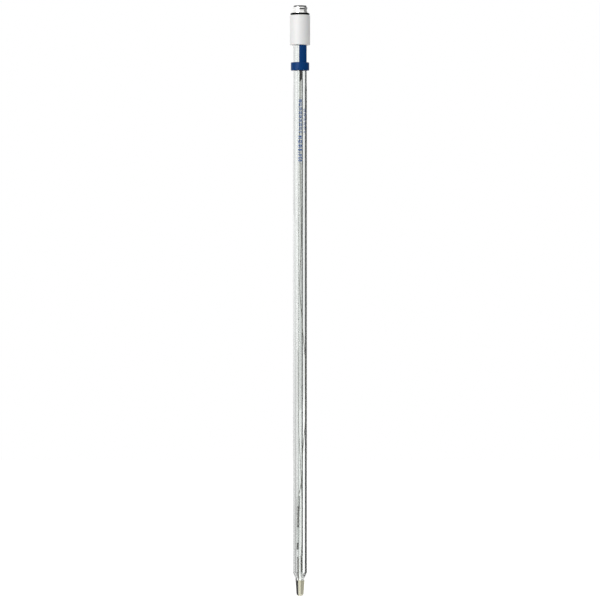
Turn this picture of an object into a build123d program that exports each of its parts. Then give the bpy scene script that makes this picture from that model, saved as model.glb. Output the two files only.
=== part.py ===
from build123d import *
import math
import os
from functools import partial

os.makedirs("parts", exist_ok=True)

# A long combination pH electrode, standing on its tip for modelling.
# The origin is the tip of the glass membrane and +Z runs up the shaft to the connector.
# The front is -Y. Angles round the shaft run from the front towards +X, in degrees.

# pH-sensitive membrane
membrane_length = 13.7
membrane_rim_radius = 3.95
membrane_tip_radius = 2.95
membrane_tip_rounding = 2.4
membrane_wall = 0.45

# Outer shaft, with a neck and a shoulder below and a ground land for the slider above
shaft_length = 470.3
shaft_radius = 6.0
shaft_wall = 1.0
neck_radius = 3.97
neck_length = 1.4
shoulder_height = 4.1
shoulder_rounding = 3.0
neck_rounding = 0.8
shoulder_wall = 0.9
rim_rounding = 0.35
land_radius = 5.82
land_taper = 2.0

# Inner stem
stem_radius = 2.5
stem_wall = 0.6
stem_below_shaft_top = 2.3

# Ceramic junction pin
junction_radius = 0.5
junction_top_above_shoulder = 13.8
junction_angle = -20.0

# Reference cartridge, its fill and its plug
cartridge_head_angle = -20.0
cartridge_foot_angle = -33.0
cartridge_bottom_above_rim = 26.3
cartridge_length = 45.5
cartridge_wall = 0.39
plug_length = 6.0
fill_above_cartridge_bottom = 19.0
fill_length = 18.0

# Reference wire and its sleeve
wire_radius = 0.25
wire_angle_at_head = 9.0
wire_end_above_fill_bottom = 3.0
wire_straight_below_cartridge_top = 2.5
sleeve_length = 43.0
sleeve_slant = 2.2
wire_straight_below_sleeve = 8.0

# Lead-off wire and its coated end
lead_radius = 0.2
element_radius = 0.45
element_length = 12.0
element_above_tip = 21.0
element_side = 0.9
lead_straight_below_stem_top = 16.0
lead_straight_above_element = 2.0

# Seals inside the head
shaft_seal_length = 10.0
shaft_seal_below_top = 2.0
stopper_length = 6.0

# Head cap
cap_radius = 8.62
cap_height = 25.6
cap_upper_rounding = 0.9
cap_lower_rounding = 0.35
socket_depth = 13.4
cavity_radius = 5.2
cavity_height = 7.0

# Connector shell, insulator and contact
spigot_radius = 4.8
shell_throat = 3.3
ring_neck_radius = 6.45
ring_neck_height = 1.9
stub_radius = 6.25
stub_height = 4.8
stub_wall = 1.35
stub_rounding = 0.25
groove_depth = 0.45
groove_width = 1.5
groove_above_neck = 1.2
stub_floor_above_cap = 0.8
insulator_rim_radius = 5.5
insulator_rim_height = 1.3
insulator_rim_rounding = 0.3
recess_radius = 3.9
recess_depth = 4.6
contact_radius = 0.8
contact_tip_rounding = 0.4
contact_below_shell = 2.2
contact_below_rim = 1.2

# Sealing ring on the cap
ring_section_radius = 0.85

# Refill slider and the hole that it covers
slider_angle = 24.7
slider_travel = 12.0
ring_radius = 7.86
ring_height = 6.9
ring_rounding = 0.5
tongue_length = 14.6
tongue_thickness = 0.98
tongue_half_angle = 31.0
tongue_corner = 0.35
notch_angle = -15.5
notch_width = 1.8
notch_height = 1.1
notch_depth = 0.7
refill_hole_radius = 1.5
refill_hole_below_tongue_top = 4.8
seal_radius = 2.3
seal_thickness = 0.6

# Clearances
slide_clearance = 0.05
seat_clearance = 0.03
annulus_clearance = 0.06
sleeve_clearance = 0.25
rest_gap = 0.3
land_margin = 0.6

# Share of the shorter run that each bend of a wire takes up
bend_share = 0.45

# Heights, from the tip upwards
neck_bottom = membrane_length
shoulder_foot = neck_bottom + neck_length
shoulder_top = shoulder_foot + shoulder_height
shaft_top = neck_bottom + shaft_length
stem_top = shaft_top - stem_below_shaft_top
cap_bottom = shaft_top - socket_depth
cap_top = cap_bottom + cap_height
cavity_top = shaft_top + cavity_height
neck_top = cap_top + ring_neck_height
stub_top = neck_top + stub_height
insulator_top = stub_top + insulator_rim_height
contact_bottom = cavity_top - contact_below_shell
tongue_top = cap_bottom - rest_gap
ring_top = tongue_top - tongue_length
ring_bottom = ring_top - ring_height
refill_height = tongue_top - refill_hole_below_tongue_top
land_bottom = ring_bottom - slider_travel - land_margin
junction_top = shoulder_top + junction_top_above_shoulder
cartridge_bottom = neck_bottom + cartridge_bottom_above_rim
cartridge_top = cartridge_bottom + cartridge_length
seal_top = shaft_top - shaft_seal_below_top
seal_bottom = seal_top - shaft_seal_length
sleeve_bottom = seal_top - sleeve_length
stopper_bottom = stem_top - stopper_length

# Radii that follow from the walls and clearances
shaft_bore = shaft_radius - shaft_wall
stem_bore = stem_radius - stem_wall
neck_bore = stem_radius + seat_clearance
annulus_middle = (stem_radius + shaft_bore) / 2
annulus_half_gap = (shaft_bore - stem_radius) / 2
cartridge_radius = annulus_half_gap - annulus_clearance
cartridge_bore = cartridge_radius - cartridge_wall
sleeve_radius = annulus_half_gap - sleeve_clearance
wire_room = annulus_half_gap - wire_radius - seat_clearance
lead_room = stem_bore - lead_radius - seat_clearance
slider_bore = land_radius + slide_clearance
tongue_radius = slider_bore + tongue_thickness
socket_radius = land_radius + seat_clearance
stub_bore = stub_radius - stub_wall
ring_bore = ring_neck_radius + seat_clearance


def round_axis(angle, radius, height=0):
    """A point at an angle from the front, at a radius from the shaft's axis."""
    turn = math.radians(angle)
    return (radius * math.sin(turn), -radius * math.cos(turn), height)


def beside_stem(angle, height, outward=0):
    """A wire's place in the gap round the stem: outward is 0 in its middle and 1 at the shaft's wall."""
    return round_axis(angle, annulus_middle + outward * wire_room, height)


def in_stem(side, front, height):
    """The lead-off wire's place in the stem, as shares of the room that the bore leaves."""
    return (side * lead_room, -front * lead_room, height)


def height_between(low, high, share):
    """The height at a share of the way from low up to high."""
    return low + share * (high - low)


def bend_radii(points):
    """The largest radius that each corner of a wire's route leaves room for."""
    radii = []
    for before, corner, after in zip(points, points[1:], points[2:]):
        run_in = Vector(corner) - Vector(before)
        run_out = Vector(after) - Vector(corner)
        half_turn = math.radians(run_in.get_angle(run_out) / 2)
        radii.append(bend_share * min(run_in.length, run_out.length) / math.tan(half_turn))
    return radii


# Outline of the shaft's neck and shoulder, shared by the shaft and the junction pin
shoulder_outline = [
    (neck_radius, neck_bottom),
    (neck_radius, shoulder_foot),
    (shaft_radius, shoulder_top),
]
shoulder_radii = [0, neck_rounding, shoulder_rounding]

refill_out = Vector(*round_axis(slider_angle, 1))
refill_plane = Plane(origin=(0, 0, refill_height), x_dir=(0, 0, 1), z_dir=refill_out)
junction_spot = beside_stem(junction_angle, 0)[:2]
head_wire_spot = beside_stem(wire_angle_at_head, 0)[:2]
element_spot = (element_side, 0)

# The cartridge leans a little, so its pieces are drawn across its own axis
cartridge_foot = Vector(*beside_stem(cartridge_foot_angle, cartridge_bottom))
cartridge_lean = Vector(*beside_stem(cartridge_head_angle, cartridge_top)) - cartridge_foot
cartridge_plane = Plane(origin=cartridge_foot, z_dir=cartridge_lean)
fill_plane = cartridge_plane.offset(fill_above_cartridge_bottom)
wire_end_plane = fill_plane.offset(wire_end_above_fill_bottom)
cartridge_mouth = cartridge_plane.offset(cartridge_length - wire_straight_below_cartridge_top).origin

# Glass membrane: a slightly conical bulb, open at the top
with BuildPart() as ph_membrane:
    with BuildSketch(Plane.XZ):
        with BuildLine():
            FilletPolyline(
                (0, 0),
                (membrane_tip_radius, 0),
                (membrane_rim_radius, membrane_length),
                (0, membrane_length),
                radius=[0, membrane_tip_rounding, 0, 0],
                close=True,
            )
        make_face()
    revolve(axis=Axis.Z)
    offset(amount=-membrane_wall, openings=ph_membrane.faces().sort_by(Axis.Z)[-1])

# Outer shaft: tube, shoulder and neck in one piece of glass
with BuildPart() as outer_shaft:
    with BuildSketch(Plane.XZ):
        with BuildLine():
            FilletPolyline(
                *shoulder_outline,
                (shaft_radius, land_bottom - land_taper),
                (land_radius, land_bottom),
                (land_radius, shaft_top),
                (shaft_bore, shaft_top),
                (shaft_bore, shoulder_top + shoulder_wall),
                (neck_bore, shoulder_foot + shoulder_wall),
                (neck_bore, neck_bottom),
                radius=[*shoulder_radii, 0, 0, rim_rounding, rim_rounding, *reversed(shoulder_radii)],
                close=True,
            )
        make_face()
    revolve(axis=Axis.Z)
    # refill hole behind the slider's tongue
    with BuildSketch(refill_plane.offset(annulus_middle)):
        Circle(refill_hole_radius)
    extrude(amount=shaft_radius, mode=Mode.SUBTRACT)
    # seat of the junction pin through the shoulder
    with BuildSketch(Plane.XY.offset(neck_bottom)):
        with Locations(junction_spot):
            Circle(junction_radius + seat_clearance)
    extrude(amount=shoulder_top + shoulder_wall - neck_bottom, mode=Mode.SUBTRACT)

# Inner stem, open at both ends
with BuildPart() as inner_stem:
    with BuildSketch(Plane.XY.offset(neck_bottom)):
        Circle(stem_radius)
        Circle(stem_bore, mode=Mode.SUBTRACT)
    extrude(amount=stem_top - neck_bottom)

# Porous ceramic pin, ground flush with the shoulder
with BuildPart() as junction_pin:
    with BuildSketch(Plane.XY.offset(neck_bottom)):
        with Locations(junction_spot):
            Circle(junction_radius)
    extrude(amount=junction_top - neck_bottom)
    with BuildSketch(Plane.XZ):
        with BuildLine():
            FilletPolyline(
                (0, neck_bottom),
                *shoulder_outline,
                (shaft_radius, junction_top),
                (0, junction_top),
                radius=[0, *shoulder_radii, 0, 0],
                close=True,
            )
        make_face()
    revolve(axis=Axis.Z, mode=Mode.INTERSECT)

# Reference cartridge between stem and shaft
with BuildPart() as cartridge_tube:
    with BuildSketch(cartridge_plane):
        Circle(cartridge_radius)
        Circle(cartridge_bore, mode=Mode.SUBTRACT)
    extrude(amount=cartridge_length)

with BuildPart() as cartridge_plug:
    with BuildSketch(cartridge_plane):
        Circle(cartridge_bore - seat_clearance)
    extrude(amount=plug_length)

with BuildPart() as silver_chloride_fill:
    with BuildSketch(fill_plane):
        Circle(cartridge_bore - seat_clearance)
    extrude(amount=fill_length)
    with BuildSketch(wire_end_plane):
        Circle(wire_radius + seat_clearance)
    extrude(amount=fill_length, mode=Mode.SUBTRACT)

# Reference wire: down from the connector shell, round the stem and into the cartridge
wire_height = partial(height_between, cartridge_top, sleeve_bottom)
reference_route = [
    beside_stem(wire_angle_at_head, cavity_top - seat_clearance),
    beside_stem(wire_angle_at_head, sleeve_bottom - wire_straight_below_sleeve),
    beside_stem(-4, wire_height(0.935)),
    beside_stem(-5, wire_height(0.88)),
    beside_stem(4, wire_height(0.79)),
    beside_stem(13, wire_height(0.70)),
    beside_stem(16, wire_height(0.61)),
    beside_stem(6, wire_height(0.56)),
    beside_stem(-5, wire_height(0.51)),
    beside_stem(4, wire_height(0.476)),
    beside_stem(18, wire_height(0.444)),
    beside_stem(33, wire_height(0.405)),
    beside_stem(47, wire_height(0.377), 0.26),
    beside_stem(62, wire_height(0.345), 0.67),
    beside_stem(79, wire_height(0.31), 0.94),
    beside_stem(84, wire_height(0.256), 0.96),
    beside_stem(79, wire_height(0.198), 0.94),
    beside_stem(62, wire_height(0.162), 0.67),
    beside_stem(47, wire_height(0.133), 0.26),
    beside_stem(35, wire_height(0.106)),
    beside_stem(32, wire_height(0.072)),
    beside_stem(23, wire_height(0.044)),
    beside_stem(6, wire_height(0.02)),
    beside_stem(-14, wire_height(0.007)),
    cartridge_mouth,
    wire_end_plane.offset(seat_clearance).origin,
]
with BuildPart() as reference_wire:
    with BuildLine() as reference_path:
        FilletPolyline(*reference_route, radius=bend_radii(reference_route))
    with BuildSketch(Plane(origin=reference_path.line @ 0, z_dir=reference_path.line % 0)):
        Circle(wire_radius)
    sweep()

# Sleeve on the reference wire, cut off at a slant below
with BuildPart() as wire_sleeve:
    with BuildSketch(Plane.XY.offset(sleeve_bottom)):
        with Locations(head_wire_spot):
            Circle(sleeve_radius)
            Circle(wire_radius + seat_clearance, mode=Mode.SUBTRACT)
    extrude(amount=sleeve_length)
    slant_middle = (*head_wire_spot, sleeve_bottom + sleeve_slant / 2)
    split(
        bisect_by=Plane(origin=slant_middle, z_dir=(-sleeve_slant, 0, 2 * sleeve_radius)),
        keep=Keep.TOP,
    )

# Lead-off wire: from the contact down the stem to its coated end
lead_straight_end = stem_top - lead_straight_below_stem_top
element_top = element_above_tip + element_length
lead_height = partial(height_between, element_top, lead_straight_end)
lead_route = [
    (0, 0, contact_bottom - seat_clearance),
    (0, 0, lead_straight_end),
    in_stem(-0.24, 0.18, lead_height(0.894)),
    in_stem(-0.54, 0.21, lead_height(0.774)),
    in_stem(-0.72, 0.30, lead_height(0.645)),
    in_stem(-0.81, 0.24, lead_height(0.515)),
    in_stem(-0.82, 0.33, lead_height(0.4)),
    in_stem(-0.81, 0.27, lead_height(0.305)),
    in_stem(-0.72, 0.30, lead_height(0.252)),
    in_stem(-0.27, 0.36, lead_height(0.222)),
    in_stem(0.20, 0.30, lead_height(0.188)),
    in_stem(0.57, 0.24, lead_height(0.155)),
    in_stem(0.87, 0.21, lead_height(0.122)),
    in_stem(0.95, 0.18, lead_height(0.085)),
    in_stem(0.93, 0.12, lead_height(0.03)),
    (*element_spot, element_top + lead_straight_above_element),
    (*element_spot, element_above_tip + seat_clearance),
]
with BuildPart() as lead_off_wire:
    with BuildLine() as lead_path:
        FilletPolyline(*lead_route, radius=bend_radii(lead_route))
    with BuildSketch(Plane(origin=lead_path.line @ 0, z_dir=lead_path.line % 0)):
        Circle(lead_radius)
    sweep()

# Silver chloride coat on the lead-off wire's end
with BuildPart() as lead_off_element:
    with BuildSketch(Plane.XY.offset(element_above_tip)):
        with Locations(element_spot):
            Circle(element_radius)
            Circle(lead_radius + seat_clearance, mode=Mode.SUBTRACT)
    extrude(amount=element_length)

# Seal between stem and shaft, with a hole for the sleeve
with BuildPart() as shaft_seal:
    with BuildSketch(Plane.XY.offset(seal_bottom)):
        Circle(shaft_bore - seat_clearance)
        Circle(stem_radius + seat_clearance, mode=Mode.SUBTRACT)
        with Locations(head_wire_spot):
            Circle(sleeve_radius + seat_clearance, mode=Mode.SUBTRACT)
    extrude(amount=shaft_seal_length)

# Stopper in the top of the stem
with BuildPart() as stem_stopper:
    with BuildSketch(Plane.XY.offset(stopper_bottom)):
        Circle(stem_bore - seat_clearance)
        Circle(lead_radius + seat_clearance, mode=Mode.SUBTRACT)
    extrude(amount=stopper_length)

# Head cap: socket for the glass, cavity for the potting, hole for the connector
with BuildPart() as head_cap:
    with BuildSketch(Plane.XZ):
        with BuildLine():
            FilletPolyline(
                (socket_radius, cap_bottom),
                (cap_radius, cap_bottom),
                (cap_radius, cap_top),
                (spigot_radius + seat_clearance, cap_top),
                (spigot_radius + seat_clearance, cavity_top),
                (cavity_radius, cavity_top),
                (cavity_radius, shaft_top),
                (socket_radius, shaft_top),
                radius=[0, cap_lower_rounding, cap_upper_rounding, 0, 0, 0, 0, 0],
                close=True,
            )
        make_face()
    revolve(axis=Axis.Z)

# Potting that fills the cap's cavity round the wires
with BuildPart() as head_potting:
    with BuildSketch(Plane.XY.offset(shaft_top)):
        Circle(cavity_radius - seat_clearance)
        Circle(lead_radius + seat_clearance, mode=Mode.SUBTRACT)
        with Locations(head_wire_spot):
            Circle(wire_radius + seat_clearance, mode=Mode.SUBTRACT)
    extrude(amount=cavity_height)
    with BuildSketch(Plane.XY.offset(contact_bottom)):
        Circle(contact_radius + seat_clearance)
    extrude(amount=contact_below_shell, mode=Mode.SUBTRACT)

# Metal connector shell: spigot in the cap, neck for the sealing ring, grooved stub
groove_bottom = neck_top + groove_above_neck
groove_radius = stub_radius - groove_depth
throat_top = cap_top + stub_floor_above_cap
with BuildPart() as connector_shell:
    with BuildSketch(Plane.XZ):
        with BuildLine():
            FilletPolyline(
                (shell_throat, cavity_top),
                (spigot_radius, cavity_top),
                (spigot_radius, cap_top),
                (ring_neck_radius, cap_top),
                (ring_neck_radius, neck_top),
                (stub_radius, neck_top),
                (stub_radius, groove_bottom),
                (groove_radius, groove_bottom),
                (groove_radius, groove_bottom + groove_width),
                (stub_radius, groove_bottom + groove_width),
                (stub_radius, stub_top),
                (stub_bore, stub_top),
                (stub_bore, throat_top),
                (shell_throat, throat_top),
                radius=[0, 0, 0, 0, 0, 0, 0, 0, 0, 0, stub_rounding, 0, 0, 0],
                close=True,
            )
        make_face()
    revolve(axis=Axis.Z)

# Insulator: stem in the throat, body in the stub, proud rim and a recess round the contact
recess_floor = insulator_top - recess_depth
with BuildPart() as connector_insulator:
    with BuildSketch(Plane.XZ):
        with BuildLine():
            FilletPolyline(
                (contact_radius + seat_clearance, cavity_top),
                (shell_throat - seat_clearance, cavity_top),
                (shell_throat - seat_clearance, throat_top),
                (stub_bore - seat_clearance, throat_top),
                (stub_bore - seat_clearance, stub_top),
                (insulator_rim_radius, stub_top),
                (insulator_rim_radius, insulator_top),
                (recess_radius, insulator_top),
                (recess_radius, recess_floor),
                (contact_radius + seat_clearance, recess_floor),
                radius=[0, 0, 0, 0, 0, 0, insulator_rim_rounding, insulator_rim_rounding, 0, 0],
                close=True,
            )
        make_face()
    revolve(axis=Axis.Z)

# Centre contact with a rounded tip
with BuildPart() as centre_contact:
    with BuildSketch(Plane.XY.offset(contact_bottom)):
        Circle(contact_radius)
    extrude(amount=insulator_top - contact_below_rim - contact_bottom)
    fillet(centre_contact.edges().group_by(Axis.Z)[-1], radius=contact_tip_rounding)

# Sealing ring round the shell's neck, lying on the cap
with BuildPart() as sealing_ring:
    with BuildSketch(Plane.XZ):
        with Locations((ring_bore + ring_section_radius, cap_top + ring_section_radius)):
            Circle(ring_section_radius)
    revolve(axis=Axis.Z)

# Space for the seal pad inside the tongue, curved like the shaft
with BuildPart() as seal_pocket:
    with BuildSketch(refill_plane):
        Circle(seal_radius + seat_clearance)
    extrude(amount=tongue_radius)
    with BuildSketch(Plane.XY.offset(ring_top)):
        Circle(slider_bore + seal_thickness + seat_clearance)
        Circle(annulus_middle, mode=Mode.SUBTRACT)
    extrude(amount=tongue_length, mode=Mode.INTERSECT)

# Refill slider: ring with a curved tongue that reaches up to the cap
tongue_start = slider_angle - tongue_half_angle - 90
ring_middle = (ring_bottom + ring_top) / 2
with BuildPart() as refill_slider:
    with BuildSketch(Plane.XZ):
        with BuildLine():
            FilletPolyline(
                (slider_bore, ring_bottom),
                (ring_radius, ring_bottom),
                (ring_radius, ring_top),
                (slider_bore, ring_top),
                radius=[0, ring_rounding, ring_rounding, 0],
                close=True,
            )
        make_face()
    revolve(axis=Axis.Z)
    with BuildSketch(Plane.XY.offset(ring_middle)):
        with BuildLine():
            outer_arc = CenterArc((0, 0), tongue_radius, tongue_start, 2 * tongue_half_angle)
            inner_arc = CenterArc((0, 0), slider_bore, tongue_start, 2 * tongue_half_angle)
            Line(outer_arc @ 0, inner_arc @ 0)
            Line(outer_arc @ 1, inner_arc @ 1)
        make_face()
    extrude(amount=tongue_top - ring_middle)
    tongue_end = refill_slider.faces().sort_by(Axis.Z)[-1]
    fillet(tongue_end.edges().sort_by(SortBy.LENGTH)[-1], radius=tongue_corner)
    # small notch in the ring's lower edge
    with BuildSketch(Plane.XY.offset(ring_bottom)):
        with Locations(Location(round_axis(notch_angle, ring_radius), notch_angle)):
            Rectangle(notch_width, 2 * notch_depth)
    extrude(amount=notch_height, mode=Mode.SUBTRACT)
    add(seal_pocket.part, mode=Mode.SUBTRACT)

# Soft pad that closes the refill hole
with BuildPart() as slider_seal:
    with BuildSketch(refill_plane):
        Circle(seal_radius)
    extrude(amount=tongue_radius)
    with BuildSketch(Plane.XY.offset(ring_top)):
        Circle(slider_bore + seal_thickness)
        Circle(slider_bore, mode=Mode.SUBTRACT)
    extrude(amount=tongue_length, mode=Mode.INTERSECT)

pieces = {
    "ph_membrane": ph_membrane,
    "outer_shaft": outer_shaft,
    "inner_stem": inner_stem,
    "junction_pin": junction_pin,
    "cartridge_tube": cartridge_tube,
    "cartridge_plug": cartridge_plug,
    "silver_chloride_fill": silver_chloride_fill,
    "reference_wire": reference_wire,
    "wire_sleeve": wire_sleeve,
    "lead_off_wire": lead_off_wire,
    "lead_off_element": lead_off_element,
    "shaft_seal": shaft_seal,
    "stem_stopper": stem_stopper,
    "head_cap": head_cap,
    "head_potting": head_potting,
    "connector_shell": connector_shell,
    "connector_insulator": connector_insulator,
    "centre_contact": centre_contact,
    "sealing_ring": sealing_ring,
    "refill_slider": refill_slider,
    "slider_seal": slider_seal,
}
for name, piece in pieces.items():
    piece.part.label = name
    export_step(piece.part, f"parts/{name}.step")

# Each wire's volume against its section times its length, and its tightest bend
for label, wire, path, route, radius in (
    ("reference wire", reference_wire, reference_path, reference_route, wire_radius),
    ("lead-off wire", lead_off_wire, lead_path, lead_route, lead_radius),
):
    length = path.wire().length
    share = wire.part.volume / (math.pi * radius**2 * length)
    tightest = min(bend_radii(route))
    print(f"{label}: length {length:.1f}, volume share {share:.5f}, tightest bend {tightest:.1f}")
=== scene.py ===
"""A long glass combination pH electrode in a plain studio.

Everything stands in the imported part's frame: metres, +Z up the shaft to the connector, and -Y the front.
Sizes in the classes are in millimetres, as a maker's drawing gives them, and MM turns them to metres.
"""

import logging
import math
from collections.abc import Callable, Sequence
from dataclasses import dataclass
from enum import Enum

import bmesh
import bpy
from mathutils import Matrix, Vector


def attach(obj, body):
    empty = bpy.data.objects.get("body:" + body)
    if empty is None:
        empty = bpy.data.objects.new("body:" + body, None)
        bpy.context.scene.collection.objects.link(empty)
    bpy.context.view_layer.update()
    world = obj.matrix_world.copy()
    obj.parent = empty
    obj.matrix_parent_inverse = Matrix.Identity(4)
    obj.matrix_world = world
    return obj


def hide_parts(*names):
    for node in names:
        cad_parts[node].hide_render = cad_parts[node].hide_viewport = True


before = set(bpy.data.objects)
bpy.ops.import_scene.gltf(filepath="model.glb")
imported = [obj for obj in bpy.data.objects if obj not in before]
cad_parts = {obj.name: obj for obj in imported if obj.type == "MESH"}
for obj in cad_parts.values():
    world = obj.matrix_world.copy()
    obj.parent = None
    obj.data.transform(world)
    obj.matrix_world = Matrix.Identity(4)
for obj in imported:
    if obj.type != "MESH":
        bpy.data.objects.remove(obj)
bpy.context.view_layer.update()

MM = 0.001
LATHE_STEPS = 128
SHARP_ANGLE = math.radians(32)
WELD_DISTANCE = 0.0005 * MM
# Air in millimetres between faces that would otherwise lie in one place and flicker
HAIRLINE = 0.01
# Where a mottled colour starts and ends to change, as noise from 0 to 1
MOTTLE_START = 0.34
MOTTLE_END = 0.66

log = logging.getLogger("electrode")

Link = bpy.types.NodeSocket


class Body(Enum):
    """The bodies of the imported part."""

    ELECTRODE = "electrode"
    SLIDER = "slider"


def linear(code: str) -> tuple[float, float, float, float]:
    """Turn an sRGB hex code into a linear colour.

    Args:
        code: Six hex digits, such as "07376b".

    Returns:
        Linear red, green and blue, with an alpha of one.
    """
    values = [int(code[start : start + 2], 16) / 255 for start in (0, 2, 4)]
    red, green, blue = (v / 12.92 if v <= 0.04045 else ((v + 0.055) / 1.055) ** 2.4 for v in values)
    return (red, green, blue, 1.0)


def add_node(
    tree: bpy.types.NodeTree,
    kind: str,
    settings: dict[str | int, object] | None = None,
    links: dict[str | int, Link] | None = None,
    **properties: object,
) -> bpy.types.Node:
    """Add a shader node with its settings and links.

    Args:
        tree: The node tree that gets the node.
        kind: Blender's name of the node's type.
        settings: Values of input sockets, by name or number.
        links: Output sockets that feed input sockets, by name or number.
        **properties: Properties of the node itself, such as operation.

    Returns:
        The new node.
    """
    node = tree.nodes.new(kind)
    for name, value in properties.items():
        setattr(node, name, value)
    for name, value in (settings or {}).items():
        node.inputs[name].default_value = value
    for name, source in (links or {}).items():
        tree.links.new(source, node.inputs[name])
    return node


def speckle(tree: bpy.types.NodeTree, grain: tuple[float, float, float], detail: float = 3.0) -> Link:
    """Noise in object space whose grain has a real size.

    Args:
        tree: The material's node tree.
        grain: The size of one grain along X, Y and Z, in millimetres.
        detail: Octaves of finer noise.

    Returns:
        The noise's factor, from 0 to 1.
    """
    place = add_node(tree, "ShaderNodeTexCoord")
    scale = [1 / (size * MM) for size in grain]
    spread = add_node(tree, "ShaderNodeMapping", {"Scale": scale}, {"Vector": place.outputs["Object"]})
    noise = add_node(
        tree, "ShaderNodeTexNoise", {"Scale": 1.0, "Detail": detail}, {"Vector": spread.outputs["Vector"]}
    )
    return noise.outputs["Fac"]


def between(tree: bpy.types.NodeTree, factor: Link, low: str, high: str) -> Link:
    """A colour that a factor moves from one hex colour to another.

    Args:
        tree: The material's node tree.
        factor: The noise or mask that picks the colour.
        low: Hex colour where the factor is under a third.
        high: Hex colour where the factor is over two thirds.

    Returns:
        The colour socket.
    """
    ramp = add_node(tree, "ShaderNodeValToRGB", links={"Fac": factor})
    first, last = ramp.color_ramp.elements
    first.position, first.color = MOTTLE_START, linear(low)
    last.position, last.color = MOTTLE_END, linear(high)
    return ramp.outputs["Color"]


def relief(tree: bpy.types.NodeTree, height: Link, depth: float) -> Link:
    """A bumped normal.

    Args:
        tree: The material's node tree.
        height: Height from 0 to 1.
        depth: Depth of the relief in millimetres.

    Returns:
        The normal socket.
    """
    bump = add_node(tree, "ShaderNodeBump", {"Strength": 1.0, "Distance": depth * MM}, {"Height": height})
    return bump.outputs["Normal"]


def uneven(tree: bpy.types.NodeTree, factor: Link, middle: float, swing: float) -> Link:
    """A roughness that a factor moves up and down.

    Args:
        tree: The material's node tree.
        factor: The noise that moves it, from 0 to 1.
        middle: The roughness in the middle.
        swing: How far it goes to each side.

    Returns:
        The roughness socket.
    """
    limits = {"To Min": middle - swing, "To Max": middle + swing}
    return add_node(tree, "ShaderNodeMapRange", limits, {"Value": factor}).outputs["Result"]


@dataclass(frozen=True)
class Finish:
    """A finish, named for its real material. A kind of finish draws its own surface."""

    name: str

    def surface(self, tree: bpy.types.NodeTree) -> Link:
        """Draw the finish and return its shader socket; each kind of finish has its own."""
        raise NotImplementedError

    def material(self) -> bpy.types.Material:
        """The Blender material of this finish, made once."""
        made = bpy.data.materials.get(self.name)
        if made is None:
            made = bpy.data.materials.new(self.name)
            made.use_nodes = True
            made.node_tree.nodes.clear()
            shader = self.surface(made.node_tree)
            add_node(made.node_tree, "ShaderNodeOutputMaterial", links={"Surface": shader})
        return made


@dataclass(frozen=True)
class Glass(Finish):
    """Clear glass, or the surface of a clear liquid: light passes it without a shadow."""

    low: str
    high: str
    ior: float
    grain: tuple[float, float, float] = (2.0, 2.0, 90.0)
    ripple: float = 0.0

    def surface(self, tree: bpy.types.NodeTree) -> Link:
        """A clear shader with faint streaks, see-through to shadow rays."""
        streaks = speckle(tree, self.grain, 1.0)
        colour = between(tree, streaks, self.low, self.high)
        links = {"Base Color": colour}
        if self.ripple:
            links["Normal"] = relief(tree, streaks, self.ripple)
        settings = {"Transmission Weight": 1.0, "Roughness": 0.0, "IOR": self.ior}
        glass = add_node(tree, "ShaderNodeBsdfPrincipled", settings, links)
        clear = add_node(tree, "ShaderNodeBsdfTransparent", links={"Color": colour})
        path = add_node(tree, "ShaderNodeLightPath")
        mix = add_node(
            tree,
            "ShaderNodeMixShader",
            links={0: path.outputs["Is Shadow Ray"], 1: glass.outputs[0], 2: clear.outputs[0]},
        )
        return mix.outputs[0]


@dataclass(frozen=True)
class Moulded(Finish):
    """A moulded or cast plastic, rubber, resin or ceramic: two close colours, a grain and a gloss."""

    low: str
    high: str
    grain: tuple[float, float, float]
    depth: float
    roughness: float
    roughness_swing: float = 0.06
    ior: float = 1.5
    coat: float = 0.0
    coat_roughness: float = 0.05
    sheen: float = 0.0
    scatter: float = 0.0
    scatter_depth: float = 0.5

    def surface(self, tree: bpy.types.NodeTree) -> Link:
        """A dielectric with mottled colour, uneven gloss and a fine relief."""
        grain = speckle(tree, self.grain)
        settings = {
            "IOR": self.ior,
            "Coat Weight": self.coat,
            "Coat Roughness": self.coat_roughness,
            "Sheen Weight": self.sheen,
            "Subsurface Weight": self.scatter,
            "Subsurface Scale": self.scatter_depth * MM,
        }
        links = {
            "Base Color": between(tree, grain, self.low, self.high),
            "Roughness": uneven(tree, grain, self.roughness, self.roughness_swing),
            "Normal": relief(tree, grain, self.depth),
        }
        return add_node(tree, "ShaderNodeBsdfPrincipled", settings, links).outputs[0]


@dataclass(frozen=True)
class Metal(Finish):
    """A bare or plated metal with turning marks or tarnish, as its grain says."""

    low: str
    high: str
    grain: tuple[float, float, float]
    depth: float
    roughness: float
    roughness_swing: float = 0.05

    def surface(self, tree: bpy.types.NodeTree) -> Link:
        """A metal with two close colours, uneven gloss and fine marks."""
        grain = speckle(tree, self.grain, 4.0)
        links = {
            "Base Color": between(tree, grain, self.low, self.high),
            "Roughness": uneven(tree, grain, self.roughness, self.roughness_swing),
            "Normal": relief(tree, grain, self.depth),
        }
        return add_node(tree, "ShaderNodeBsdfPrincipled", {"Metallic": 1.0}, links).outputs[0]


# Drawn borosilicate tube: all but colourless, a touch grey-green through its walls, with faint draw lines
SHAFT_GLASS = Glass("drawn_borosilicate_glass", "f6f8f7", "fafbfa", 1.473)
# The same glass where the buffer wets it, so that it hardly bends light there
WETTED_GLASS = Glass("wetted_borosilicate_glass", "f9fbfa", "fcfdfc", 1.473 / 1.343)
# Blown lithium silicate glass of the membrane: straw to olive where it is thick
MEMBRANE_GLASS = Glass("blown_lithium_silicate_glass", "e0decb", "eae8d9", 1.52, (2.5, 2.5, 5.0), 0.002)
WETTED_MEMBRANE = Glass("wetted_lithium_silicate_glass", "f5f4e8", "f9f8f0", 1.52 / 1.343, (2.5, 2.5, 5.0))
# Top of the buffer in the stem, a clear salt solution
BUFFER_TOP = Glass("buffer_solution_surface", "fbfbf9", "fdfdfc", 1.343)
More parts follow.
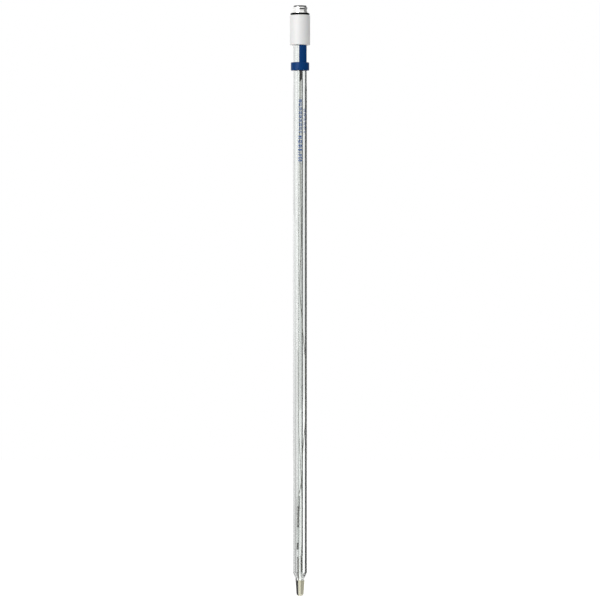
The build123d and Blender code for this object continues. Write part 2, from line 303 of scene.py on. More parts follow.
# Porous zirconia pin: chalky off-white that looks grey in the glass
PIN_CERAMIC = Moulded("porous_zirconia_ceramic", "8d8a83", "b2aea6", (0.15, 0.15, 0.15), 0.02, 0.75)
# Packed fibre that holds the fill in the cartridge: dark grey felt
PLUG_FIBRE = Moulded("packed_glass_fibre", "5c5c59", "7d7c77", (0.1, 0.1, 0.6), 0.05, 0.85, sheen=0.2)
# Pressed silver chloride: violet-grey where light has reached it
CHLORIDE = Moulded("pressed_silver_chloride", "6f6d6a", "8f8c86", (0.3, 0.3, 0.5), 0.03, 0.7)
# Drawn silver wire with a chloride skin: dull olive-grey, brighter where the skin is thin
SILVER_WIRE = Metal("chlorided_silver_wire", "7c7c72", "a3a297", (0.3, 0.3, 2.5), 0.004, 0.42)
# Heat-shrunk polyolefin sleeve: black, satin, with its index set low for a weak gloss
BLACK_SLEEVE = Moulded("shrunk_polyolefin_sleeve", "050404", "0b0909", (0.4, 0.4, 3.0), 0.01, 0.5, ior=1.25)
# Moulded nitrile rubber of the seals: dark grey, matt
SEAL_RUBBER = Moulded("moulded_nitrile_rubber", "1b1b1b", "262626", (0.2, 0.2, 0.2), 0.01, 0.65)
# O-ring of fluorocarbon rubber: black, with its index set low so that hardly any gloss is left
RING_RUBBER = Moulded(
    "fluorocarbon_rubber_ring", "020202", "060606", (0.25, 0.25, 0.25), 0.006, 0.55, ior=1.06
)
# Injection-moulded polybutylene terephthalate cap: clean white, fine mould grain, satin
CAP_PLASTIC = Moulded(
    "moulded_white_pbt", "f0f0ef", "f5f5f4", (0.25, 0.25, 0.25), 0.004, 0.5, scatter=0.05
)
# Cast epoxy of the head: black, glossy
POTTING = Moulded("cast_black_epoxy", "151516", "1c1c1e", (1.0, 1.0, 1.0), 0.01, 0.2)
# Turned and nickel-plated brass shell: bright, neutral, with fine rings from turning
SHELL_METAL = Metal("turned_nickel_plate", "eeeeec", "f6f6f4", (4.0, 4.0, 0.12), 0.0012, 0.16)
# Moulded phenylene sulphide insulator: black and glossy
INSULATOR = Moulded("moulded_black_pps", "0e0e0f", "17171a", (0.3, 0.3, 0.3), 0.002, 0.16, coat=0.3)
# Turned brass contact, gold flashed
CONTACT_BRASS = Metal("gold_flashed_brass", "c79a45", "d9b05c", (2.0, 2.0, 0.08), 0.001, 0.22)
# Injection-moulded polypropylene slider: deep blue, with its index set low for a weak gloss
SLIDER_PLASTIC = Moulded(
    "moulded_blue_polypropylene", "003872", "013e7b", (0.5, 0.5, 0.5), 0.006, 0.3, ior=1.2
)
# Screen-printed and fired enamel ink: mid blue, matt
PRINT_INK = Moulded("fired_blue_enamel_ink", "1f4c8c", "2c5a9b", (0.12, 0.12, 0.12), 0.003, 0.5)


@dataclass(frozen=True)
class Corner:
    """A corner of a lathe profile, in millimetres: its place, and the radius and steps of its rounding."""

    radius: float
    height: float
    rounding: float = 0.0
    steps: int = 6


def round_corner(mesh: bmesh.types.BMesh, vertex: bmesh.types.BMVert, corner: Corner) -> None:
    """Round one corner of a wire profile.

    Args:
        mesh: The mesh that holds the profile.
        vertex: The corner's vertex, between two edges.
        corner: The rounding's radius and steps.
    """
    ends = [edge.other_vert(vertex).co - vertex.co for edge in vertex.link_edges]
    turn = math.pi - ends[0].angle(ends[1])
    bmesh.ops.bevel(
        mesh,
        geom=[vertex],
        offset=corner.rounding * MM * math.tan(turn / 2),
        offset_type="OFFSET",
        segments=corner.steps,
        profile=0.5,
        affect="VERTICES",
        material=-1,
    )


def lathe(corners: Sequence[Corner], closed: bool = True) -> bmesh.types.BMesh:
    """Turn a profile round the Z axis into a closed shell.

    Args:
        corners: The profile's corners in order.
        closed: Whether the profile is a loop; otherwise it starts and ends on the axis.

    Returns:
        The turned mesh, in metres.
    """
    mesh = bmesh.new()
    vertices = [mesh.verts.new((c.radius * MM, 0, c.height * MM)) for c in corners]
    for start, end in zip(vertices, vertices[1:]):
        mesh.edges.new((start, end))
    if closed:
        mesh.edges.new((vertices[-1], vertices[0]))
    for vertex, corner in zip(vertices, corners):
        if corner.rounding:
            round_corner(mesh, vertex, corner)
    bmesh.ops.spin(
        mesh,
        geom=mesh.verts[:] + mesh.edges[:],
        cent=(0, 0, 0),
        axis=(0, 0, 1),
        dvec=(0, 0, 0),
        angle=math.tau,
        steps=LATHE_STEPS,
        use_merge=True,
    )
    bmesh.ops.remove_doubles(mesh, verts=mesh.verts, dist=WELD_DISTANCE)
    bmesh.ops.recalc_face_normals(mesh, faces=mesh.faces)
    return mesh


def round_axis(angle: float, radius: float, height: float = 0.0) -> Vector:
    """A point round the shaft's axis.

    Args:
        angle: Degrees from the front towards +X.
        radius: Distance from the axis in millimetres.
        height: Height in millimetres.

    Returns:
        The point in metres.
    """
    turn = math.radians(angle)
    return Vector((radius * math.sin(turn), -radius * math.cos(turn), height)) * MM


def shade(mesh: bpy.types.Mesh) -> None:
    """Smooth a mesh, but keep the edges that turn by more than the sharp angle."""
    work = bmesh.new()
    work.from_mesh(mesh)
    for face in work.faces:
        face.smooth = True
    for edge in work.edges:
        edge.smooth = edge.calc_face_angle(0.0) < SHARP_ANGLE
    work.to_mesh(mesh)
    work.free()


def place(
    mesh: bmesh.types.BMesh | bpy.types.Mesh,
    name: str,
    finishes: Sequence[Finish],
    body: Body,
    nodes: Sequence[str] = (),
    slot: str = "",
) -> bpy.types.Object:
    """Turn a mesh into a finished piece that rides on its body.

    Args:
        mesh: The mesh, in metres, in the part's frame.
        name: The piece's name.
        finishes: A finish for each material number in the mesh.
        body: The body that the piece moves with.
        nodes: CAD nodes that the piece stands for.
        slot: The record's material slot; not used.

    Returns:
        The piece.
    """
    if isinstance(mesh, bmesh.types.BMesh):
        data = bpy.data.meshes.new(name)
        mesh.to_mesh(data)
        mesh.free()
    else:
        data = mesh
    for finish in finishes:
        data.materials.append(finish.material())
    shade(data)
    piece = bpy.data.objects.new(name, data)
    bpy.context.scene.collection.objects.link(piece)
    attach(piece, body.value)
    if nodes:
        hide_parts(*nodes)
    log.info("%s: %d faces, rides on %s", name, len(data.polygons), body.value)
    return piece


def merged(node: str) -> bmesh.types.BMesh:
    """A copy of a CAD node's mesh, with its loose triangles joined.

    Args:
        node: The node's name.

    Returns:
        The joined copy.
    """
    mesh = bmesh.new()
    mesh.from_mesh(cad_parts[node].data)
    bmesh.ops.remove_doubles(mesh, verts=mesh.verts, dist=WELD_DISTANCE)
    return mesh


def paint(mesh: bmesh.types.BMesh, number: int, chosen: Callable[[Vector], bool]) -> None:
    """Give some faces of a mesh another material number.

    Args:
        mesh: The mesh.
        number: The material number.
        chosen: Says from a face's middle, in millimetres, whether the face gets it.
    """
    for face in mesh.faces:
        if chosen(face.calc_center_median() / MM):
            face.material_index = number


def from_axis(point: Vector) -> float:
    """Distance of a point from the shaft's axis."""
    return math.hypot(point.x, point.y)


@dataclass(frozen=True)
class GlassShaft:
    """The outer tube with its neck and shoulder, and the stem that is fused into the neck."""

    radius: float = 6.0
    bore: float = 5.0
    neck_radius: float = 3.97
    neck_bottom: float = 13.7
    shoulder_foot: float = 15.1
    shoulder_top: float = 19.2
    shoulder_wall: float = 0.9
    shoulder_rounding: float = 3.0
    neck_rounding: float = 0.8
    land_radius: float = 5.82
    land_foot: float = 434.2
    land_bottom: float = 436.2
    top: float = 484.0
    rim_rounding: float = 0.35
    stem_radius: float = 2.5
    stem_bore: float = 1.9
    stem_top: float = 481.7
    buffer_level: float = 34.0
    hole_radius: float = 1.5
    hole_height: float = 465.5
    hole_angle: float = 24.7
    hole_margin: float = 2.5
    hole_steps: int = 48
    cutter_depth: float = 4.0
    meniscus_rise: float = 0.5
    meniscus_flat: float = 0.55

    def build(self) -> None:
        """Make both tubes."""
        self.outer()
        self.stem()
        self.buffer_top()

    def outer(self) -> None:
        """The outer tube: the neck is solid down to the stem's bore, because the stem is fused into it."""
        below_hole = self.hole_height - self.hole_margin
        above_hole = self.hole_height + self.hole_margin
        floor = self.shoulder_foot + self.shoulder_wall
        mesh = lathe(
            [
                Corner(self.neck_radius, self.neck_bottom),
                Corner(self.neck_radius, self.shoulder_foot, self.neck_rounding),
                Corner(self.radius, self.shoulder_top, self.shoulder_rounding, 10),
                Corner(self.radius, self.land_foot),
                Corner(self.land_radius, self.land_bottom),
                Corner(self.land_radius, below_hole),
                Corner(self.land_radius, above_hole),
                Corner(self.land_radius, self.top, self.rim_rounding),
                Corner(self.bore, self.top, self.rim_rounding),
                Corner(self.bore, above_hole),
                Corner(self.bore, below_hole),
                Corner(self.bore, self.shoulder_top + self.shoulder_wall, self.shoulder_rounding, 10),
                Corner(self.stem_radius, floor, self.neck_rounding / 2),
                Corner(self.stem_bore, floor),
                Corner(self.stem_bore, self.neck_bottom),
            ]
        )
        paint(mesh, 1, lambda point: from_axis(point) < (self.stem_bore + self.stem_radius) / 2)
        piece = place(
            mesh, "shaft_tube", [SHAFT_GLASS, WETTED_GLASS], Body.ELECTRODE, ["outer_shaft"], "shaft_glass"
        )
        self.cut_refill_hole(piece)

    def cut_refill_hole(self, piece: bpy.types.Object) -> None:
        """Cut the refill hole behind the slider's tongue.

        Args:
            piece: The outer tube.
        """
        cutter = bmesh.new()
        outward = round_axis(self.hole_angle, 1.0).normalized()
        turn = outward.to_track_quat("Z", "Y").to_matrix().to_4x4()
        middle = Matrix.Translation(round_axis(self.hole_angle, self.bore, self.hole_height))
        bmesh.ops.create_cone(
            cutter,
            cap_ends=True,
            segments=self.hole_steps,
            radius1=self.hole_radius * MM,
            radius2=self.hole_radius * MM,
            depth=self.cutter_depth * MM,
            matrix=middle @ turn,
        )
        cut(piece, cutter)

    def stem(self) -> None:
        """The inner tube, which stands on the neck's floor."""
        foot = self.shoulder_foot + self.shoulder_wall + HAIRLINE
        mesh = lathe(
            [
                Corner(self.stem_radius, foot),
                Corner(self.stem_radius, self.stem_top),
                Corner(self.stem_bore, self.stem_top),
                Corner(self.stem_bore, self.buffer_level),
                Corner(self.stem_bore, foot),
            ]
        )
        middle = (self.stem_bore + self.stem_radius) / 2
        paint(mesh, 1, lambda point: from_axis(point) < middle and point.z < self.buffer_level)
        place(mesh, "stem_tube", [SHAFT_GLASS, WETTED_GLASS], Body.ELECTRODE, ["inner_stem"], "shaft_glass")

    def buffer_top(self) -> None:
        """The curved top of the buffer in the stem, flat in its middle."""
        rise = self.meniscus_rise
        edge = self.stem_bore - HAIRLINE
        mesh = lathe(
            [
                Corner(0, self.buffer_level),
                Corner(self.meniscus_flat * edge, self.buffer_level),
                Corner(edge, self.buffer_level + rise),
                Corner(edge, self.buffer_level - rise),
                Corner(0, self.buffer_level - rise),
            ],
            closed=False,
        )
        place(mesh, "buffer_surface", [BUFFER_TOP], Body.ELECTRODE)


def cut(piece: bpy.types.Object, cutter: bmesh.types.BMesh) -> None:
    """Subtract a closed mesh from a piece and keep the result in the piece's own mesh.

    Args:
        piece: The piece to cut.
        cutter: The closed mesh that is taken away.
    """
    data = bpy.data.meshes.new("cutter")
    cutter.to_mesh(data)
    cutter.free()
    tool = bpy.data.objects.new("cutter", data)
    bpy.context.scene.collection.objects.link(tool)
    step = piece.modifiers.new("cut", "BOOLEAN")
    step.operation = "DIFFERENCE"
    step.solver = "EXACT"
    step.object = tool
    seen = bpy.context.evaluated_depsgraph_get()
    result = bpy.data.meshes.new_from_object(piece.evaluated_get(seen))
    piece.modifiers.clear()
    piece.data = result
    shade(piece.data)
    bpy.data.objects.remove(tool)


@dataclass(frozen=True)
class Membrane:
    """The pH-sensitive bulb, slightly conical with a rounded end."""

    length: float = 13.7
    rim_radius: float = 3.95
    tip_radius: float = 2.95
    tip_rounding: float = 2.4
    wall: float = 0.45
    wet_depth: float = 0.75

    def build(self) -> None:
        """Blow the bulb: dry outside, and wetted by the buffer beyond the wet depth's share of the wall."""
        rim = self.length - HAIRLINE
        mesh = lathe(
            [
                Corner(0, 0),
                Corner(self.tip_radius, 0, self.tip_rounding, 16),
                Corner(self.rim_radius, rim),
                Corner(self.rim_radius - self.wall, rim),
                Corner(self.tip_radius - self.wall, self.wall, self.tip_rounding - self.wall, 16),
                Corner(0, self.wall),
            ],
            closed=False,
        )
        slope = (self.rim_radius - self.tip_radius) / self.length
        inside = self.wet_depth * self.wall
        paint(
            mesh,
            1,
            lambda point: point.z > inside and from_axis(point) < self.tip_radius + slope * point.z - inside,
        )
        finishes = [MEMBRANE_GLASS, WETTED_MEMBRANE]
        place(mesh, "membrane_bulb", finishes, Body.ELECTRODE, ["ph_membrane"], "membrane_glass")


@dataclass(frozen=True)
class Cartridge:
    """The leaning reference cartridge with its fill and its plug, and the ceramic pin beside it."""

    middle: float = 3.75
    head_angle: float = -20.0
    foot_angle: float = -33.0
    bottom: float = 40.0
    length: float = 45.5
    radius: float = 1.19
    bore: float = 0.8
    rim_rounding: float = 0.12
    pin_drop: float = 0.03

    def lean(self) -> Matrix:
        """The place of the cartridge's own axis, from its foot up."""
        foot = round_axis(self.foot_angle, self.middle, self.bottom)
        head = round_axis(self.head_angle, self.middle, self.bottom + self.length)
        return Matrix.Translation(foot) @ (head - foot).to_track_quat("Z", "Y").to_matrix().to_4x4()

    def build(self) -> None:
        """Make the tube, and dress what it holds."""
        mesh = lathe(
            [
                Corner(self.radius, 0, self.rim_rounding, 3),
                Corner(self.radius, self.length, self.rim_rounding, 3),
                Corner(self.bore, self.length, self.rim_rounding, 3),
                Corner(self.bore, 0, self.rim_rounding, 3),
            ]
        )
        bmesh.ops.transform(mesh, matrix=self.lean(), verts=mesh.verts)
        place(mesh, "cartridge_glass", [SHAFT_GLASS], Body.ELECTRODE, ["cartridge_tube"], "shaft_glass")
        plug = merged("cartridge_plug")
        place(plug, "fibre_plug", [PLUG_FIBRE], Body.ELECTRODE, ["cartridge_plug"], "plug_fibre")
        fill = merged("silver_chloride_fill")
        place(fill, "chloride_fill", [CHLORIDE], Body.ELECTRODE, ["silver_chloride_fill"], "silver_chloride")
        pin = merged("junction_pin")
        bmesh.ops.translate(pin, vec=(0, 0, -self.pin_drop * MM), verts=pin.verts)
        place(pin, "ceramic_pin", [PIN_CERAMIC], Body.ELECTRODE, ["junction_pin"], "junction_ceramic")


@dataclass(frozen=True)
class Wires:
    """The two silver wires, the sleeve on one and the coated end of the other."""

    def build(self) -> None:
        """Dress the wires along their own routes."""
        dressed = {
            "reference_wire": ("reference_strand", SILVER_WIRE, "silver_wire"),
            "lead_off_wire": ("lead_off_strand", SILVER_WIRE, "silver_wire"),
            "wire_sleeve": ("shrunk_sleeve", BLACK_SLEEVE, "black_sleeve"),
            "lead_off_element": ("coated_element", CHLORIDE, "silver_chloride"),
        }
        for node, (name, finish, slot) in dressed.items():
            place(merged(node), name, [finish], Body.ELECTRODE, [node], slot)


@dataclass(frozen=True)
class Head:
    """The white cap, the connector on it and the ring between them."""

    cap_radius: float = 8.62
    cap_bottom: float = 470.6
    cap_top: float = 496.2
    cap_upper_rounding: float = 0.9
    cap_lower_rounding: float = 0.35
    socket_radius: float = 5.85
    cavity_radius: float = 5.2
    shaft_top: float = 484.0
    cavity_top: float = 491.0
    spigot_radius: float = 4.8
    throat: float = 3.3
    throat_top: float = 497.0
    ring_neck_radius: float = 6.45
    ring_neck_top: float = 498.1
    ring_section: float = 0.85
    ring_steps: int = 32
    stub_radius: float = 6.25
    stub_bore: float = 4.9
    stub_top: float = 502.9
    stub_rounding: float = 0.25
    groove_bottom: float = 499.3
    groove_width: float = 1.5
    groove_depth: float = 0.45
    groove_rounding: float = 0.12
    rim_radius: float = 5.5
    rim_top: float = 504.2
    rim_rounding: float = 0.3
    recess_radius: float = 3.9
    recess_depth: float = 4.6
    contact_radius: float = 0.8
    contact_top: float = 503.0
    contact_bottom: float = 488.8
    contact_rounding: float = 0.4
    seat_clearance: float = 0.03

    def build(self) -> None:
        """Make the head's outer pieces, and dress what they hide."""
        self.cap()
        self.shell()
        self.insulator()
        self.contact()
        self.ring()
        dress_node("shaft_seal", SEAL_RUBBER)
        dress_node("stem_stopper", SEAL_RUBBER)
        dress_node("head_potting", POTTING)

    def cap(self) -> None:
        """The white cap with its socket for the glass."""
        spigot = self.spigot_radius + self.seat_clearance
        mesh = lathe(
            [
                Corner(self.socket_radius, self.cap_bottom),
                Corner(self.cap_radius, self.cap_bottom, self.cap_lower_rounding),
                Corner(self.cap_radius, self.cap_top, self.cap_upper_rounding, 8),
                Corner(spigot, self.cap_top),
                Corner(spigot, self.cavity_top),
                Corner(self.cavity_radius, self.cavity_top),
                Corner(self.cavity_radius, self.shaft_top),
                Corner(self.socket_radius, self.shaft_top),
            ]
        )
        place(mesh, "white_cap", [CAP_PLASTIC], Body.ELECTRODE, ["head_cap"], "cap_plastic")

    def shell(self) -> None:
        """The turned shell with its groove."""
        groove = self.stub_radius - self.groove_depth
        groove_top = self.groove_bottom + self.groove_width
        mesh = lathe(
            [
                Corner(self.throat, self.cavity_top),
                Corner(self.spigot_radius, self.cavity_top),
                Corner(self.spigot_radius, self.cap_top),
                Corner(self.ring_neck_radius, self.cap_top),
                Corner(self.ring_neck_radius, self.ring_neck_top, self.groove_rounding, 3),
                Corner(self.stub_radius, self.ring_neck_top),
                Corner(self.stub_radius, self.groove_bottom, self.groove_rounding, 3),
                Corner(groove, self.groove_bottom),
                Corner(groove, groove_top),
                Corner(self.stub_radius, groove_top, self.groove_rounding, 3),
                Corner(self.stub_radius, self.stub_top, self.stub_rounding),
                Corner(self.stub_bore, self.stub_top),
                Corner(self.stub_bore, self.throat_top),
                Corner(self.throat, self.throat_top),
            ]
        )
        place(mesh, "turned_shell", [SHELL_METAL], Body.ELECTRODE, ["connector_shell"], "shell_metal")

    def insulator(self) -> None:
        """The black insulator with its proud rim and the recess round the contact."""
        hole = self.contact_radius + self.seat_clearance
        throat = self.throat - self.seat_clearance
        body = self.stub_bore - self.seat_clearance
        recess_floor = self.rim_top - self.recess_depth
        above_shell = self.stub_top + HAIRLINE
        mesh = lathe(
            [
                Corner(hole, self.cavity_top),
                Corner(throat, self.cavity_top),
                Corner(throat, self.throat_top),
                Corner(body, self.throat_top),
                Corner(body, above_shell),
                Corner(self.rim_radius, above_shell),
                Corner(self.rim_radius, self.rim_top, self.rim_rounding),
                Corner(self.recess_radius, self.rim_top, self.rim_rounding),
                Corner(self.recess_radius, recess_floor),
                Corner(hole, recess_floor),
            ]
        )
        node = "connector_insulator"
        place(mesh, "plug_insulator", [INSULATOR], Body.ELECTRODE, [node], "insulator_plastic")

    def contact(self) -> None:
        """The centre contact with its rounded tip."""
        mesh = lathe(
            [
                Corner(0, self.contact_bottom),
                Corner(self.contact_radius, self.contact_bottom),
                Corner(self.contact_radius, self.contact_top, self.contact_rounding),
                Corner(0, self.contact_top),
            ],
            closed=False,
        )
        place(mesh, "centre_pin", [CONTACT_BRASS], Body.ELECTRODE, ["centre_contact"], "contact_brass")

    def ring(self) -> None:
        """The O-ring, turned from a round section."""
        middle = self.ring_neck_radius + self.seat_clearance + self.ring_section
        mesh = bmesh.new()
        upright = Matrix.Rotation(math.pi / 2, 4, "X")
        centre = Matrix.Translation(Vector((middle, 0, self.cap_top + self.ring_section)) * MM)
        bmesh.ops.create_circle(
            mesh, segments=self.ring_steps, radius=self.ring_section * MM, matrix=centre @ upright
        )
        bmesh.ops.spin(
            mesh,
            geom=mesh.verts[:] + mesh.edges[:],
            cent=(0, 0, 0),
            axis=(0, 0, 1),
            dvec=(0, 0, 0),
            angle=math.tau,
            steps=LATHE_STEPS,
            use_merge=True,
        )
        bmesh.ops.recalc_face_normals(mesh, faces=mesh.faces)
        place(mesh, "o_ring", [RING_RUBBER], Body.ELECTRODE, ["sealing_ring"], "ring_rubber")


def dress_node(node: str, finish: Finish) -> None:
    """Give a CAD node that stays its finish.

    Args:
        node: The node's name.
        finish: Its finish.
    """
    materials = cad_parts[node].data.materials
    if not materials:
        materials.append(None)
    for number in range(len(materials)):
        materials[number] = finish.material()
    log.info("%s: CAD node, %s", node, finish.name)


@dataclass(frozen=True)
class Slider:
    """The blue refill slider and the soft pad inside its tongue."""

    def build(self) -> None:
        """Dress the slider and its pad."""
        slider = merged("refill_slider")
        place(slider, "blue_slider", [SLIDER_PLASTIC], Body.SLIDER, ["refill_slider"], "slider_plastic")
        pad = merged("slider_seal")
        place(pad, "seal_pad", [SEAL_RUBBER], Body.SLIDER, ["slider_seal"], "seal_rubber")


@dataclass(frozen=True)
class Marking:
    """One line of plain figures on the glass, read upwards along the shaft.

    Attributes:
        angle: Degrees from the front towards +X.
        bottom: Height of the line's start in millimetres.
        top: Height of its end in millimetres.
        height: Height of its figures in millimetres.
        weight: How far the strokes are thickened, as a share of the type size.
    """

    name: str
    text: str
    angle: float
    bottom: float
    top: float
    height: float
    weight: float = 0.0


@dataclass(frozen=True)
class Print:
    """Plain figures in blue ink, where the real shaft has its print."""

    radius: float = 6.0
    ink_lift: float = 0.012
    ink_thickness: float = 0.012
    strip: float = 0.3
    weld: float = 0.001
    lines: tuple[Marking, ...] = (
        Marking("figures_small", "0 10 20 30 40 50 60 70 80", 3.0, 395.5, 424.0, 3.0, 0.025),
        Marking("figures_bold", "0 2 4 6 8 10 12 14", 1.0, 371.0, 393.0, 3.7, 0.06),
        Marking("figures_side", "0 10 20 30 40 50", 42.0, 395.5, 416.0, 2.4, 0.01),
    )

    def build(self) -> None:
        """Print each line."""
        for line in self.lines:
            self.print_line(line)

    def print_line(self, line: Marking) -> None:
        """Print one line and wrap it round the glass.

        Args:
            line: The line's figures, place and size.
        """
        curve = bpy.data.curves.new(line.name, "FONT")
        curve.body = line.text
        curve.offset = line.weight
        flat = bpy.data.objects.new(line.name, curve)
        bpy.context.scene.collection.objects.link(flat)
        bpy.context.view_layer.update()
        seen = bpy.context.evaluated_depsgraph_get()
        data = bpy.data.meshes.new_from_object(flat.evaluated_get(seen))
        bpy.data.objects.remove(flat)
        mesh = bmesh.new()
        mesh.from_mesh(data)
        self.fit(mesh, line)
        self.wrap(mesh, line)
        place(mesh, line.name, [PRINT_INK], Body.ELECTRODE)

    def fit(self, mesh: bmesh.types.BMesh, line: Marking) -> None:
        """Scale flat figures to their height and length, and centre them.

        Args:
            mesh: The flat figures.
            line: The line's place and size.
        """
        lows = [min(vertex.co[axis] for vertex in mesh.verts) for axis in (0, 1)]
        highs = [max(vertex.co[axis] for vertex in mesh.verts) for axis in (0, 1)]
        middle = Vector([-(low + high) / 2 for low, high in zip(lows, highs)] + [0])
        bmesh.ops.translate(mesh, vec=middle, verts=mesh.verts)
        length = (line.top - line.bottom) / (highs[0] - lows[0])
        height = line.height / (highs[1] - lows[1])
        bmesh.ops.scale(mesh, vec=(length, height, 1), verts=mesh.verts)

    def wrap(self, mesh: bmesh.types.BMesh, line: Marking) -> None:
        """Cut figures into narrow strips, give them the ink's thickness and lay them round the glass.

        Args:
            mesh: The flat figures, in millimetres, along X.
            line: The line's place and size.
        """
        cuts = int(line.height / self.strip)
        for number in range(-cuts, cuts + 1):
            bmesh.ops.bisect_plane(
                mesh,
                geom=mesh.verts[:] + mesh.edges[:] + mesh.faces[:],
                plane_co=(0, number * self.strip / 2, 0),
                plane_no=(0, 1, 0),
            )
        bmesh.ops.remove_doubles(mesh, verts=mesh.verts, dist=self.weld)
        raised = bmesh.ops.extrude_face_region(mesh, geom=mesh.faces[:])
        top = [item for item in raised["geom"] if isinstance(item, bmesh.types.BMVert)]
        bmesh.ops.translate(mesh, vec=(0, 0, self.ink_thickness), verts=top)
        bmesh.ops.recalc_face_normals(mesh, faces=mesh.faces)
        middle = (line.bottom + line.top) / 2
        for vertex in mesh.verts:
            along, across, lift = vertex.co
            radius = self.radius + self.ink_lift + lift
            angle = line.angle - math.degrees(across / self.radius)
            vertex.co = round_axis(angle, radius, middle + along)


@dataclass(frozen=True)
class Card:
    """An upright card or softbox that stands round the electrode, out of the camera's sight.

    Attributes:
        azimuth: Its middle, in degrees from the front towards +X.
        spread: The angle that it covers round the electrode, in degrees.
        distance: Its distance from the axis in metres.
        bottom: Height of its foot in metres.
        top: Height of its head in metres.
        strength: Its brightness, where 1 is white.
        in_glass: Whether it shows through glass.
        in_gloss: Whether it shows in gloss.
        on_matt: Whether it lights matt surfaces.
        fade: Height in metres over which its head fades to the room's white.
        steps: How many flat strips bend it round the electrode.
    """

    name: str
    azimuth: float
    spread: float
    distance: float
    bottom: float
    top: float
    strength: float
    in_glass: bool = True
    in_gloss: bool = True
    on_matt: bool = False
    fade: float = 0.0
    steps: int = 12

    def build(self) -> None:
        """Bend the card round the electrode, light it and say which rays see it."""
        mesh = bmesh.new()
        edge = round_axis(self.azimuth - self.spread / 2, self.distance / MM)
        foot = mesh.verts.new((edge.x, edge.y, self.bottom))
        head = mesh.verts.new((edge.x, edge.y, self.top))
        mesh.edges.new((foot, head))
        bmesh.ops.spin(
            mesh,
            geom=mesh.verts[:] + mesh.edges[:],
            cent=(0, 0, 0),
            axis=(0, 0, 1),
            dvec=(0, 0, 0),
            angle=math.radians(self.spread),
            steps=self.steps,
        )
        data = bpy.data.meshes.new(self.name)
        mesh.to_mesh(data)
        mesh.free()
        data.materials.append(self.light())
        card = bpy.data.objects.new(self.name, data)
        bpy.context.scene.collection.objects.link(card)
        card.visible_camera = False
        card.visible_shadow = False
        card.visible_diffuse = self.on_matt
        card.visible_glossy = self.in_gloss
        card.visible_transmission = self.in_glass

    def light(self) -> bpy.types.Material:
        """The card's own light, which may fade to white at its head so that glass shows no edge there."""
        material = bpy.data.materials.new(self.name)
        material.use_nodes = True
        tree = material.node_tree
        tree.nodes.clear()
        colour = linear("ffffff")
        glow = add_node(tree, "ShaderNodeEmission", {"Color": colour, "Strength": self.strength})
        if self.fade:
            place_in_room = add_node(tree, "ShaderNodeTexCoord")
            split = add_node(tree, "ShaderNodeSeparateXYZ", links={0: place_in_room.outputs["Object"]})
            limits = {
                "From Min": self.top - self.fade,
                "From Max": self.top,
                "To Min": self.strength,
                "To Max": 1.0,
            }
            rise = add_node(tree, "ShaderNodeMapRange", limits, {"Value": split.outputs["Z"]})
            tree.links.new(rise.outputs["Result"], glow.inputs["Strength"])
        add_node(tree, "ShaderNodeOutputMaterial", links={"Surface": glow.outputs[0]})
        return material


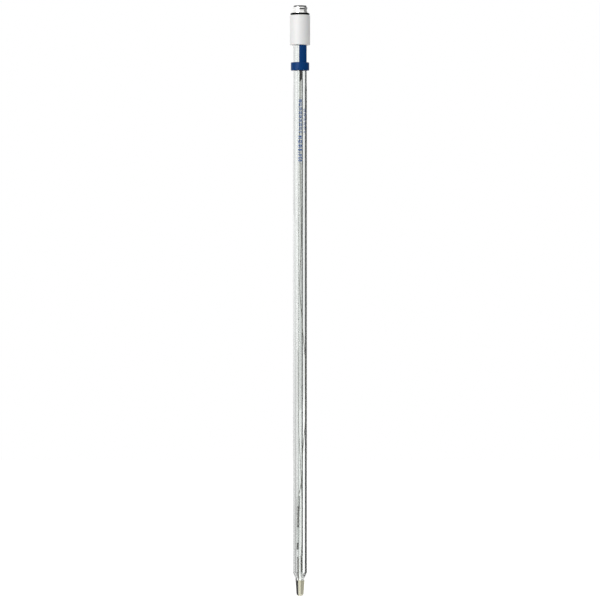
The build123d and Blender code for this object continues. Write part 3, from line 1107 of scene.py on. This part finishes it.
@dataclass(frozen=True)
class Studio:
    """A white room with softboxes, and with dark and grey cards that give the glass its lines.

    Heights and distances are in metres.
    """

    floor_height: float = -0.8
    floor_size: float = 20.0
    floor_colour: str = "f2f2f2"
    floor_glow: float = 0.75
    ambient: float = 0.57
    lamp_distance: float = 1.2
    lamp_height: float = 0.5
    camera_distance: float = 3.0
    camera_height: float = 0.2529
    view_height: float = 0.5124
    sight: float = 100.0
    sensor: float = 36.0
    glass_bounces: int = 40
    gloss_bounces: int = 24
    cards: tuple[Card, ...] = (
        Card(
            "key_gloss", azimuth=-37, spread=38, distance=1.2,
            bottom=0.22, top=1.2, strength=4.5, in_glass=False,
        ),
        Card(
            "dark_front_card", azimuth=28, spread=84, distance=0.9,
            bottom=-0.79, top=0.54, strength=0.0,
        ),
        Card(
            "dark_glass_card", azimuth=131.5, spread=73, distance=0.9,
            bottom=-0.79, top=1.2, strength=0.0, in_gloss=False,
        ),
        Card(
            "dim_side_card", azimuth=131.5, spread=73, distance=0.9,
            bottom=-0.79, top=1.2, strength=0.25, in_glass=False,
        ),
        Card(
            "dark_gloss_card", azimuth=90, spread=40, distance=1.0,
            bottom=-0.79, top=1.2, strength=0.2, in_glass=False, on_matt=True,
        ),
        Card(
            "grey_glass_card", azimuth=-145, spread=40, distance=0.9,
            bottom=0.3, top=0.8, strength=0.75, in_gloss=False,
        ),
        Card(
            "low_grey_card", azimuth=-155, spread=40, distance=0.9,
            bottom=-0.79, top=0.35, strength=0.4, in_gloss=False, fade=0.42,
        ),
    )

    def build(self) -> None:
        """Set up the room, the lights and the camera."""
        self.room()
        self.floor()
        self.lamps()
        self.camera()
        for card in self.cards:
            card.build()
        scene = bpy.context.scene
        scene.view_settings.view_transform = "Standard"
        # many walls of glass lie behind each other, and light turns inside them
        scene.cycles.max_bounces = self.glass_bounces
        scene.cycles.glossy_bounces = self.gloss_bounces
        scene.cycles.transmission_bounces = self.glass_bounces
        scene.cycles.transparent_max_bounces = self.glass_bounces

    def seen(self, tree: bpy.types.NodeTree) -> Link:
        """One for the rays that see the background, straight or by gloss or glass, and none for others."""
        path = add_node(tree, "ShaderNodeLightPath")
        gloss = add_node(
            tree,
            "ShaderNodeMath",
            links={0: path.outputs["Is Camera Ray"], 1: path.outputs["Is Glossy Ray"]},
            operation="MAXIMUM",
        )
        glass = add_node(
            tree,
            "ShaderNodeMath",
            links={0: gloss.outputs[0], 1: path.outputs["Is Transmission Ray"]},
            operation="MAXIMUM",
        )
        return glass.outputs[0]

    def room(self) -> None:
        """White to the eye, in gloss and in glass, and softer on matt surfaces."""
        world = bpy.data.worlds.new("white_room")
        bpy.context.scene.world = world
        world.use_nodes = True
        tree = world.node_tree
        tree.nodes.clear()
        limits = {"To Min": self.ambient, "To Max": 1.0}
        strength = add_node(tree, "ShaderNodeMapRange", limits, {"Value": self.seen(tree)}).outputs["Result"]
        light = add_node(tree, "ShaderNodeBackground", {"Color": linear("ffffff")}, {"Strength": strength})
        add_node(tree, "ShaderNodeOutputWorld", links={"Surface": light.outputs[0]})

    def floor(self) -> None:
        """A pale floor that keeps the electrode's shadow."""
        mesh = bmesh.new()
        level = Matrix.Translation((0, 0, self.floor_height))
        bmesh.ops.create_grid(mesh, x_segments=1, y_segments=1, size=self.floor_size, matrix=level)
        data = bpy.data.meshes.new("floor")
        mesh.to_mesh(data)
        mesh.free()
        material = bpy.data.materials.new("pale_floor")
        material.use_nodes = True
        tree = material.node_tree
        tree.nodes.clear()
        matt = add_node(tree, "ShaderNodeBsdfDiffuse", {"Color": linear(self.floor_colour)})
        share = {1: self.floor_glow}
        lift = add_node(tree, "ShaderNodeMath", share, {0: self.seen(tree)}, operation="MULTIPLY").outputs[0]
        glow = add_node(tree, "ShaderNodeEmission", {"Color": linear("ffffff")}, {"Strength": lift})
        both = add_node(tree, "ShaderNodeAddShader", links={0: matt.outputs[0], 1: glow.outputs[0]})
        add_node(tree, "ShaderNodeOutputMaterial", links={"Surface": both.outputs[0]})
        data.materials.append(material)
        floor = bpy.data.objects.new("floor", data)
        bpy.context.scene.collection.objects.link(floor)

    def lamps(self) -> None:
        """The softboxes' light on matt surfaces: a key at the front left and a fill behind at the right."""
        self.softbox("key_softbox", azimuth=-30, size=1.4, power=7.4)
        self.softbox("back_fill", azimuth=150, size=1.6, power=4.0)

    def softbox(self, name: str, azimuth: float, size: float, power: float) -> None:
        """An area light round the electrode that only matt surfaces see.

        Args:
            name: The light's name.
            azimuth: Degrees from the front towards +X.
            size: Its width and height in metres.
            power: Its power in watts.
        """
        light = bpy.data.lights.new(name, "AREA")
        light.shape = "SQUARE"
        light.size = size
        light.energy = power
        lamp = bpy.data.objects.new(name, light)
        lamp.location = round_axis(azimuth, self.lamp_distance / MM, self.lamp_height / MM)
        aim = Vector((0, 0, self.camera_height)) - lamp.location
        lamp.rotation_euler = aim.to_track_quat("-Z", "Y").to_euler()
        lamp.visible_camera = False
        lamp.visible_glossy = False
        lamp.visible_transmission = False
        bpy.context.scene.collection.objects.link(lamp)

    def camera(self) -> None:
        """Look level at the middle of the electrode, so that the picture is as high as the photograph."""
        lens = bpy.data.cameras.new("camera")
        lens.sensor_width = self.sensor
        lens.lens = self.sensor * self.camera_distance / self.view_height
        lens.clip_end = self.sight
        camera = bpy.data.objects.new("camera", lens)
        camera.location = (0, -self.camera_distance, self.camera_height)
        camera.rotation_euler = (math.pi / 2, 0, 0)
        bpy.context.scene.collection.objects.link(camera)
        bpy.context.scene.camera = camera


def main() -> None:
    """Build the electrode from its shaft outwards, and then the studio."""
    logging.basicConfig(level=logging.INFO, format="%(message)s")
    for assembly in (GlassShaft(), Membrane(), Cartridge(), Wires(), Head(), Slider(), Print(), Studio()):
        assembly.build()
        log.info("%s is built", type(assembly).__name__)


if __name__ == "__main__":
    main()
